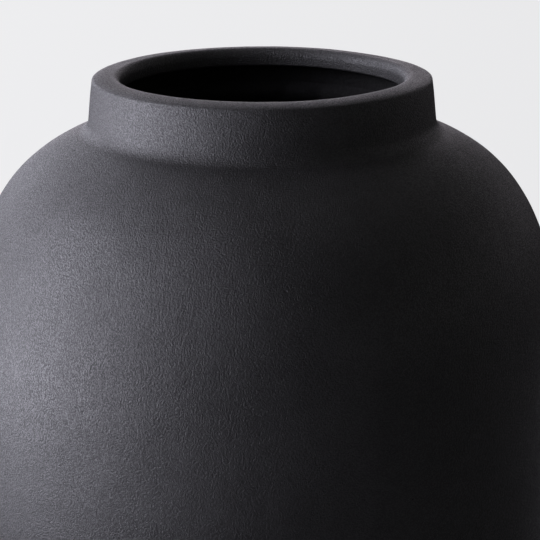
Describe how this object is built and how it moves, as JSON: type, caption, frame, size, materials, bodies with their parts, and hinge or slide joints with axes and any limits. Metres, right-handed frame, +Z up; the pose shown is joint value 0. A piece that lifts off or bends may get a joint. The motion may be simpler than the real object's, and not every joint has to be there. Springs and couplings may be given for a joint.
{
  "type": "clay pot",
  "caption": "Round-bodied black clay jar with a short upright collar, a thick rolled lip and a low foot ring, hollow inside and open at the top.",
  "frame": {"origin": "centre of the foot ring's resting plane, under the pot's axis", "axes": "+Z up along the pot's axis of turning; +X and +Y are free, because the pot is round"},
  "size_m": [0.2828, 0.2828, 0.29],
  "materials": {
    "black_clay": "smoke-blackened clay, matt with a soft sheen, fine grain and pinholes",
    "raw_clay": "unburnished smoke-blackened clay, dry and rough",
    "foot_clay": "turned smoke-blackened clay, scuffed where it stands"
  },
  "bodies": {
    "root": {"foot_ring": "foot_clay", "base_dish": "black_clay", "lower_wall": "black_clay", "shoulder_wall": "black_clay", "collar": "black_clay", "rim_coil": "black_clay", "base_seam_coil": "raw_clay", "belly_seam_coil": "raw_clay", "collar_seam_coil": "raw_clay"}
  },
  "joints": []
}
